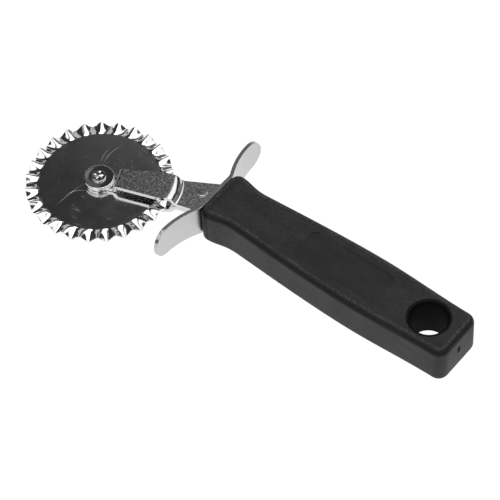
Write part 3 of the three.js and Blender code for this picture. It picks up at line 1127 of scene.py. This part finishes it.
@dataclass(frozen=True)
class FingerGuard:
    """The bent strip between the arms and the handle, with two wings that lean forward and curl back."""

    places: Places
    thickness: float = 1.4 * MM
    flat: float = 8.3 * MM  # half the length of its flat middle
    knee_radius: float = 3.85 * MM
    knee_angle: float = math.radians(28.3)
    wing_radius: float = 32 * MM
    wing_length: float = 20.8 * MM
    height: float = 14.2 * MM
    wing_height: float = 13.2 * MM
    tip_length: float = 6.1 * MM
    slot_width: float = 11.1 * MM
    slot_height: float = 3.2 * MM
    edge: float = 0.6 * MM
    wing_steps: int = 22

    @property
    def knee_end(self) -> float:
        """How far from the middle the knee ends."""
        return self.flat + self.knee_radius * math.sin(self.knee_angle)

    @property
    def curl_centre(self) -> Point:
        """The centre that a wing curls round: its distance from the middle, and how far back it is."""
        lean = self.knee_radius * (1 - math.cos(self.knee_angle))
        across = self.knee_end + self.wing_radius * math.sin(self.knee_angle)
        return across, self.wing_radius * math.cos(self.knee_angle) - lean

    @property
    def tip(self) -> float:
        """How far from the middle a wing's tip is."""
        turned = self.wing_length / self.wing_radius - self.knee_angle
        return self.curl_centre[0] + self.wing_radius * math.sin(turned)

    def lift(self, along: float) -> float:
        """How far back the strip's middle is, at a distance along it from its own middle."""
        at = abs(along)
        forward = -self.thickness / 2
        if at <= self.flat:
            return forward
        if at <= self.knee_end:
            return forward - self.knee_radius + math.sqrt(self.knee_radius**2 - (at - self.flat) ** 2)
        across, back = self.curl_centre
        return forward + back - math.sqrt(self.wing_radius**2 - (at - across) ** 2)

    def stations(self) -> list[float]:
        """Where the strip bends, along it."""
        knee = [self.flat + self.knee_radius * math.sin(self.knee_angle * i / 6) for i in range(7)]
        span = self.tip - self.knee_end
        wing = [self.knee_end + span * i / self.wing_steps for i in range(1, self.wing_steps)]
        return [side * at for side in (1, -1) for at in knee + wing]

    def outline(self) -> list[Point]:
        """The strip seen along the handle: its length in x and its height in y."""
        start = self.tip - self.tip_length
        ellipse = [
            (start + self.tip_length * math.cos(a), self.wing_height / 2 * math.sin(a))
            for a in [math.pi * (i / 28 - 0.5) for i in range(29)]
        ]
        right = [(self.flat, -self.height / 2), *ellipse, (self.flat, self.height / 2)]
        return right + [(-x, -y) for x, y in right]

    def build(self) -> None:
        """Cuts the blank, bends it and rounds its edges."""
        mesh = bmesh.new()
        add_loop(mesh, self.outline())
        half = self.slot_width / 2
        add_loop(mesh, rounded_rectangle(-half, half, self.slot_height, 0.5 * MM, 4))
        fill_flat(mesh, mesh.edges[:], UP)
        pressed(mesh, self.stations(), self.lift, self.thickness)
        soften(mesh, self.edge, 4, math.radians(55))
        stand = Matrix(((0, 0, 1, 0), (1, 0, 0, 0), (0, 1, 0, 0), (0, 0, 0, 1)))
        finish = SatinSteel("satin guard steel", Slot.GUARD, (0.54, 0.54, 0.545), 1.0, 0.27)
        show("winged_guard", mesh, self.places.handle_frame @ stand, finish, Body.FRAME, "finger_guard")


# ---------- handle ----------


@dataclass(frozen=True)
class Handle:
    """The moulded handle: a collar, a waist for the finger, a belly and a square tail with a hanging hole."""

    places: Places
    front: float = 0.05 * MM
    length: float = 109 * MM
    thickness: float = 17.2 * MM
    collar_width: float = 22.7 * MM
    waist_width: float = 19.6 * MM
    waist_at: float = 14.5 * MM
    belly_width: float = 24.4 * MM
    belly_at: float = 68 * MM
    tail_width: float = 22 * MM
    side_pulls: tuple[Point, ...] = (  # how far each curve of a side runs straight, after and before its ends
        (4 * MM, 5.2 * MM),
        (3 * MM, 21 * MM),
        (13 * MM, 13 * MM),
    )
    edge_radius: float = 2.7 * MM
    front_corner: float = 3.2 * MM
    tail_corner: float = 4 * MM
    hole_radius: float = 6.6 * MM
    hole_lip: float = 1.6 * MM
    lower_lip: float = 0.3 * MM
    hole_at: float = 95.5 * MM
    panel_start: float = 39.5 * MM
    panel_length: float = 37.4 * MM
    panel_width: float = 14.4 * MM
    panel_corner: float = 3.5 * MM
    panel_depth: float = 0.3 * MM
    panel_edge: float = 0.12 * MM
    gate_at: tuple[float, float] = (-0.7 * MM, 1.6 * MM)  # across and up, from the middle of the end face
    gate_size: tuple[float, float] = (1.6 * MM, 3 * MM)
    gate_depth: float = 0.5 * MM
    tang_slot: tuple[float, float] = (11.6 * MM, 3.7 * MM)
    tang_depth: float = 57.3 * MM
    parting_depth: float = 0.05 * MM
    parting_half: float = 0.14 * MM
    curve_steps: int = 20
    shaded_bore_finish: int = 1  # material indices; the bore's plastic is darker as painted shade
    panel_finish: int = 2

    def side(self, sign: int) -> list[Point]:
        """One long side, from the front corner to the tail.

        Args:
            sign: 1 for the side with positive y, -1 for the other.

        Returns:
            Its points, front to back.
        """
        front = self.front + self.front_corner
        tail = self.length - self.tail_corner
        widths = (self.collar_width, self.waist_width, self.belly_width, self.tail_width)
        collar, waist, belly, end = (sign * width / 2 for width in widths)
        knots = [(front, collar), (self.waist_at, waist), (self.belly_at, belly), (tail, end)]
        curves = [
            (start, (start[0] + after, start[1]), (stop[0] - before, stop[1]), stop)
            for start, stop, (after, before) in zip(knots, knots[1:], self.side_pulls)
        ]
        points: list[Point] = []
        for curve in curves:
            drawn = interpolate_bezier(*[Vector((*knot, 0)) for knot in curve], self.curve_steps)
            points += [(point.x, point.y) for point in drawn[1:-1]] + [curve[-1]]
        return points[:-1]

    def outline(self) -> list[Point]:
        """The handle's outline from above, anticlockwise from the middle of its front."""
        front = self.front + self.front_corner
        collar = self.collar_width / 2 - self.front_corner
        tail = self.length - self.tail_corner
        end = self.tail_width / 2 - self.tail_corner
        return [
            *arc((front, -collar), self.front_corner, math.pi, 1.5 * math.pi, 7),
            *self.side(-1),
            *arc((tail, -end), self.tail_corner, -QUARTER_TURN, 0, 8),
            *arc((tail, end), self.tail_corner, 0, QUARTER_TURN, 8),
            *self.side(1)[::-1],
            *arc((front, collar), self.front_corner, QUARTER_TURN, math.pi, 7),
        ]

    def raise_walls(self, mesh: Mesh) -> None:
        """Draws the outline in the middle plane, raises it to the top face and rounds the top edge."""
        walls = add_loop(mesh, self.outline(), 0.0)
        for height in (self.parting_half, self.thickness / 2):
            walls = extruded(mesh, walls)
            for vert in verts_on(walls):
                vert.co.z = height
        bmesh.ops.contextual_create(mesh, geom=walls)
        bmesh.ops.recalc_face_normals(mesh, faces=mesh.faces[:])
        bmesh.ops.bevel(
            mesh,
            geom=walls,
            offset=self.edge_radius,
            offset_type="OFFSET",
            segments=8,
            profile=0.5,
            affect="EDGES",
            clamp_overlap=False,
            material=-1,
        )

    def open_top(self, mesh: Mesh) -> None:
        """Cuts the hanging hole and presses the panel into the top face."""
        top = self.thickness / 2
        cap = max(mesh.faces, key=lambda face: face.calc_center_median().z)
        rim = cap.edges[:]
        bmesh.ops.delete(mesh, geom=[cap], context="FACES_ONLY")
        hole_rim = self.hole_radius + self.hole_lip
        hole = add_loop(mesh, arc((self.hole_at, 0), hole_rim, 0, FULL_TURN, 64)[:-1], top)
        panel_end = self.panel_start + self.panel_length
        shape = rounded_rectangle(self.panel_start, panel_end, self.panel_width, self.panel_corner, 8)
        panel = add_loop(mesh, shape, top)
        fill_flat(mesh, rim + hole + panel, UP)
        self.sink_hole(mesh, hole)
        self.sink_panel(mesh, panel)

    def sink_hole(self, mesh: Mesh, rim: Edges) -> None:
        """Rolls the hole's lip over and takes its wall down to the middle plane."""
        top = self.thickness / 2
        lip = arc((0, 0), self.hole_lip, 0, QUARTER_TURN, 6)[1:]
        rings = [(self.hole_radius + self.hole_lip - y, top - self.hole_lip + x) for x, y in lip]
        for radius, height in [*rings, (self.hole_radius, 0.0)]:
            rim = extruded(mesh, rim)
            # the lip and the wall take the darker plastic that paints the shade inside the hole
            for face in dict.fromkeys(f for e in rim for f in e.link_faces):
                face.material_index = self.shaded_bore_finish
            for vert in verts_on(rim):
                across = Vector((vert.co.x - self.hole_at, vert.co.y, 0)).normalized() * radius
                vert.co = (self.hole_at + across.x, across.y, height)

    def sink_panel(self, mesh: Mesh, rim: Edges) -> None:
        """Fills the panel and steps it down, with soft edges above and below."""
        panel = bmesh.ops.contextual_create(mesh, geom=rim)["faces"]
        soft = self.panel_edge
        bend = (soft, 0.25 * soft)
        for inset, depth in (bend, (soft / 2, self.panel_depth - 0.5 * soft), bend):
            bmesh.ops.inset_region(mesh, faces=panel, thickness=inset, depth=0, use_even_offset=True)
            for vert in dict.fromkeys(v for f in panel for v in f.verts):
                vert.co.z -= depth
        for face in panel:
            face.material_index = self.panel_finish

    def close(self, mesh: Mesh) -> None:
        """Mirrors the upper half below the middle plane, and sinks the parting line between them."""
        for vert in mesh.verts:
            outside = math.hypot(vert.co.x - self.hole_at, vert.co.y) > self.hole_radius + self.hole_lip
            if abs(vert.co.z) < MERGE and outside:
                inwards = Vector((self.length / 2 - vert.co.x, -vert.co.y, 0)).normalized()
                vert.co += inwards * self.parting_depth
        bmesh.ops.mirror(mesh, geom=mesh.verts[:] + mesh.edges[:] + mesh.faces[:], axis="Z", merge_dist=MERGE)
        bmesh.ops.remove_doubles(mesh, verts=mesh.verts[:], dist=MERGE)
        bmesh.ops.recalc_face_normals(mesh, faces=mesh.faces[:])
        self.tighten_lower_lip(mesh)

    def tighten_lower_lip(self, mesh: Mesh) -> None:
        """Makes the hole's lip in the lower face a small one."""
        face = -self.thickness / 2
        share = self.lower_lip / self.hole_lip
        for vert in mesh.verts:
            across = Vector((vert.co.x - self.hole_at, vert.co.y, 0))
            beyond = across.length - self.hole_radius
            if beyond < self.hole_lip + MERGE and vert.co.z < face + self.hole_lip + MERGE:
                across *= (self.hole_radius + beyond * share) / across.length
                vert.co = (self.hole_at + across.x, across.y, face + (vert.co.z - face) * share)

    def sink_gate(self, mesh: Mesh) -> None:
        """Sinks the mark that the mould's gate leaves in the end face."""
        ends = [f for f in mesh.faces if f.normal.x > 0.999 and f.calc_center_median().z > self.parting_half]
        mark = max(ends, key=lambda face: face.calc_area())
        bmesh.ops.inset_region(mesh, faces=[mark], thickness=0.5 * MM, use_even_offset=True)
        middle = mark.calc_center_median()
        for vert in mark.verts:
            vert.co.y = self.gate_at[0] + math.copysign(self.gate_size[0] / 2, vert.co.y - middle.y)
            vert.co.z = self.gate_at[1] + math.copysign(self.gate_size[1] / 2, vert.co.z - middle.z)
        bmesh.ops.inset_region(mesh, faces=[mark], thickness=0.12 * MM, use_even_offset=True)
        for vert in mark.verts:
            vert.co.x -= self.gate_depth

    def open_front(self, mesh: Mesh) -> None:
        """Cuts the slot that the tangs run in, from the front face."""
        reach = self.front + 2 * self.parting_depth
        faces = [f for f in mesh.faces if all(v.co.x < reach for v in f.verts)]
        bmesh.ops.delete(mesh, geom=faces, context="FACES")
        edge = [e for e in mesh.edges if e.is_boundary]
        for vert in verts_on(edge):
            vert.co.x = self.front
        width, height = self.tang_slot
        shape = rounded_rectangle(-width / 2, width / 2, height, 0.4 * MM, 3)
        verts = [mesh.verts.new((self.front, y, z)) for y, z in shape]
        slot = [mesh.edges.new((a, b)) for a, b in zip(verts, verts[1:] + verts[:1])]
        fill_flat(mesh, edge + slot, Vector((-1, 0, 0)))
        deep = extruded(mesh, slot)
        for vert in verts_on(deep):
            vert.co.x = self.tang_depth
        bmesh.ops.contextual_create(mesh, geom=deep)
        bmesh.ops.recalc_face_normals(mesh, faces=mesh.faces[:])

    def build(self) -> None:
        """Builds the upper half, mirrors it and cuts what isn't the same above and below."""
        mesh = bmesh.new()
        self.raise_walls(mesh)
        self.open_top(mesh)
        self.close(mesh)
        self.sink_gate(mesh)
        self.open_front(mesh)
        joint = self.places.guard.x
        finish = MouldedPlastic("black handle plastic", Slot.HANDLE, grey(0.033), 0.0, 0.46, joint_at=joint)
        # painted shade: the hole's lip and bore get a darker, less shiny plastic for the shade inside the
        # hole
        bore = MouldedPlastic(
            "bore plastic darkened as shade", Slot.HANDLE, grey(0.012), 0.0, 0.6, specular=0.02, edge_highlight=0.0, joint_at=joint
        )
        panel = MouldedPlastic(
            "smooth panel plastic",
            Slot.HANDLE,
            grey(0.025),
            0.0,
            0.5,
            specular=0.2,
            speck=0.06,
            joint_at=joint,
        )
        show("moulded_handle", mesh, self.places.handle_frame, finish, Body.FRAME, "handle", (bore, panel))


# ---------- studio ----------


@dataclass(frozen=True)
class Softbox:
    """A large even light, aimed at the cutter.

    Its azimuth is measured from straight ahead of the camera, positive to the right.
    """

    name: str
    azimuth: float
    elevation: float
    width: float
    height: float
    radiance: float
    distance: float = 1.8

    def hang(self, target: Vector, ahead: float) -> None:
        """Hangs the light.

        Args:
            target: the point that it is aimed at.
            ahead: the angle of straight ahead in the x-y plane, in radians.
        """
        turn = ahead - math.radians(self.azimuth)
        tilt = math.radians(self.elevation)
        away = Vector((math.cos(turn) * math.cos(tilt), math.sin(turn) * math.cos(tilt), math.sin(tilt)))
        data = bpy.data.lights.new(self.name, "AREA")
        data.shape = "RECTANGLE"
        data.size = self.width
        data.size_y = self.height
        data.energy = self.radiance * math.pi * self.width * self.height
        light = bpy.data.objects.new(self.name, data)
        light.location = target + away * self.distance
        light.rotation_mode = "QUATERNION"
        light.rotation_quaternion = away.to_track_quat("Z", "Y")
        bpy.context.scene.collection.objects.link(light)


@dataclass(frozen=True)
class Studio:
    """The floor, the lights, the surroundings and the camera."""

    places: Places
    azimuth: float = 41.92  # degrees; 0 looks along +y
    elevation: float = 52.62
    roll: float = -4.09
    lens: float = 184.28  # in Blender's millimetres, with the sensor below
    sensor: float = 36.0
    distance: float = 0.94713
    aim_right: float = 0.05564  # from the wheel's centre to the line of sight
    aim_down: float = 0.02527
    floor_drop: float = 0.5 * MM
    floor_size: float = 0.4
    floor_glow: float = 1.05
    surroundings: float = 0.03
    softboxes: tuple[Softbox, ...] = field(
        default=(
            # azimuth, elevation, width, height, radiance
            Softbox("overhead softbox", 180, 82.5, 1.4, 1.9, 1.9),
            Softbox("right softbox", 58, 46, 1.0, 1.1, 1.4),
            Softbox("side softbox", 105, 46, 1.5, 1.0, 1.1),
            Softbox("left softbox", -112, 44, 2.4, 0.9, 1.15),
            Softbox("far low card", 0, 15, 2.4, 0.75, 0.5),
            Softbox("dim far card", 8.5, 42.5, 0.6, 0.5, 0.07),
            Softbox("dim right card", 11.5, 56, 0.47, 0.33, 0.16),
        )
    )

    @property
    def camera_axes(self) -> Matrix:
        """The camera's right, up and backward directions, as the columns of a matrix."""
        a, e, r = (math.radians(angle) for angle in (self.azimuth, self.elevation, self.roll))
        back = Vector((math.sin(a) * math.cos(e), -math.cos(a) * math.cos(e), math.sin(e)))
        right = Vector((math.cos(a), math.sin(a), 0))
        up = back.cross(right)
        rolled_right = math.cos(r) * right + math.sin(r) * up
        rolled_up = -math.sin(r) * right + math.cos(r) * up
        return Matrix((rolled_right, rolled_up, back)).transposed()

    def set_camera(self) -> None:
        """Makes the scene's camera."""
        axes = self.camera_axes
        data = bpy.data.cameras.new("camera")
        data.lens = self.lens
        data.sensor_width = self.sensor
        camera = bpy.data.objects.new("camera", data)
        offset = axes @ Vector((self.aim_right, -self.aim_down, self.distance))
        camera.matrix_world = Matrix.Translation(self.places.wheel + offset) @ axes.to_4x4()
        bpy.context.scene.collection.objects.link(camera)
        bpy.context.scene.camera = camera

    def lay_floor(self) -> None:
        """A pale table, lit from within like a light table, so that shadows on it stay faint."""
        mesh = bmesh.new()
        bmesh.ops.create_circle(mesh, cap_ends=True, segments=64, radius=self.floor_size)
        bmesh.ops.translate(mesh, vec=(0, 0, -self.floor_drop), verts=mesh.verts[:])
        data = bpy.data.meshes.new("floor")
        mesh.to_mesh(data)
        mesh.free()
        floor = bpy.data.objects.new("floor", data)
        bpy.context.scene.collection.objects.link(floor)
        material = bpy.data.materials.new("pale table")
        material.use_nodes = True
        shader = material.node_tree.nodes["Principled BSDF"]
        shader.inputs["Base Color"].default_value = (0, 0, 0, 1)
        shader.inputs["Roughness"].default_value = 0.9
        shader.inputs["Specular IOR Level"].default_value = 0.0
        shader.inputs["Emission Color"].default_value = (1, 1, 1, 1)
        shader.inputs["Emission Strength"].default_value = self.floor_glow
        data.materials.append(material)

    def set_surroundings(self) -> None:
        """A dark room round a pale backdrop."""
        world = bpy.data.worlds.new("studio")
        world.use_nodes = True
        tree = world.node_tree
        room = tree.nodes["Background"]
        room.inputs["Color"].default_value = (1, 1, 1, 1)
        room.inputs["Strength"].default_value = self.surroundings
        backdrop = tree.nodes.new("ShaderNodeBackground")
        backdrop.inputs["Color"].default_value = (1, 1, 1, 1)
        path = tree.nodes.new("ShaderNodeLightPath")
        mix = tree.nodes.new("ShaderNodeMixShader")
        tree.links.new(path.outputs["Is Camera Ray"], mix.inputs["Fac"])
        tree.links.new(room.outputs[0], mix.inputs[1])
        tree.links.new(backdrop.outputs[0], mix.inputs[2])
        tree.links.new(mix.outputs[0], tree.nodes["World Output"].inputs["Surface"])
        bpy.context.scene.world = world

    def build(self) -> None:
        """All of it."""
        bpy.context.scene.view_settings.view_transform = "Standard"
        self.set_camera()
        self.lay_floor()
        self.set_surroundings()
        ahead = math.radians(self.azimuth) + QUARTER_TURN
        for softbox in self.softboxes:
            softbox.hang(self.places.wheel, ahead)


def dress_hidden_pieces() -> None:
    """Gives the bush inside the hub, which keeps its CAD shape, its steel."""
    steel = TumbledSteel("bush steel", Slot.HUB, (0.6, 0.6, 0.6), 1.0, 0.3, 1500, 0.1)
    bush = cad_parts["wheel_bush"]
    bush.data.materials.clear()
    bush.data.materials.append(steel.material())


def main() -> None:
    """Builds every sub-assembly in order."""
    logging.basicConfig(level=logging.INFO, format="%(message)s")
    places = Places()
    for assembly in (CutterWheel, Hub, Fork, FingerGuard, Handle, Studio):
        log.info("building %s", assembly.__name__)
        assembly(places).build()
    dress_hidden_pieces()


if __name__ == "__main__":
    main()
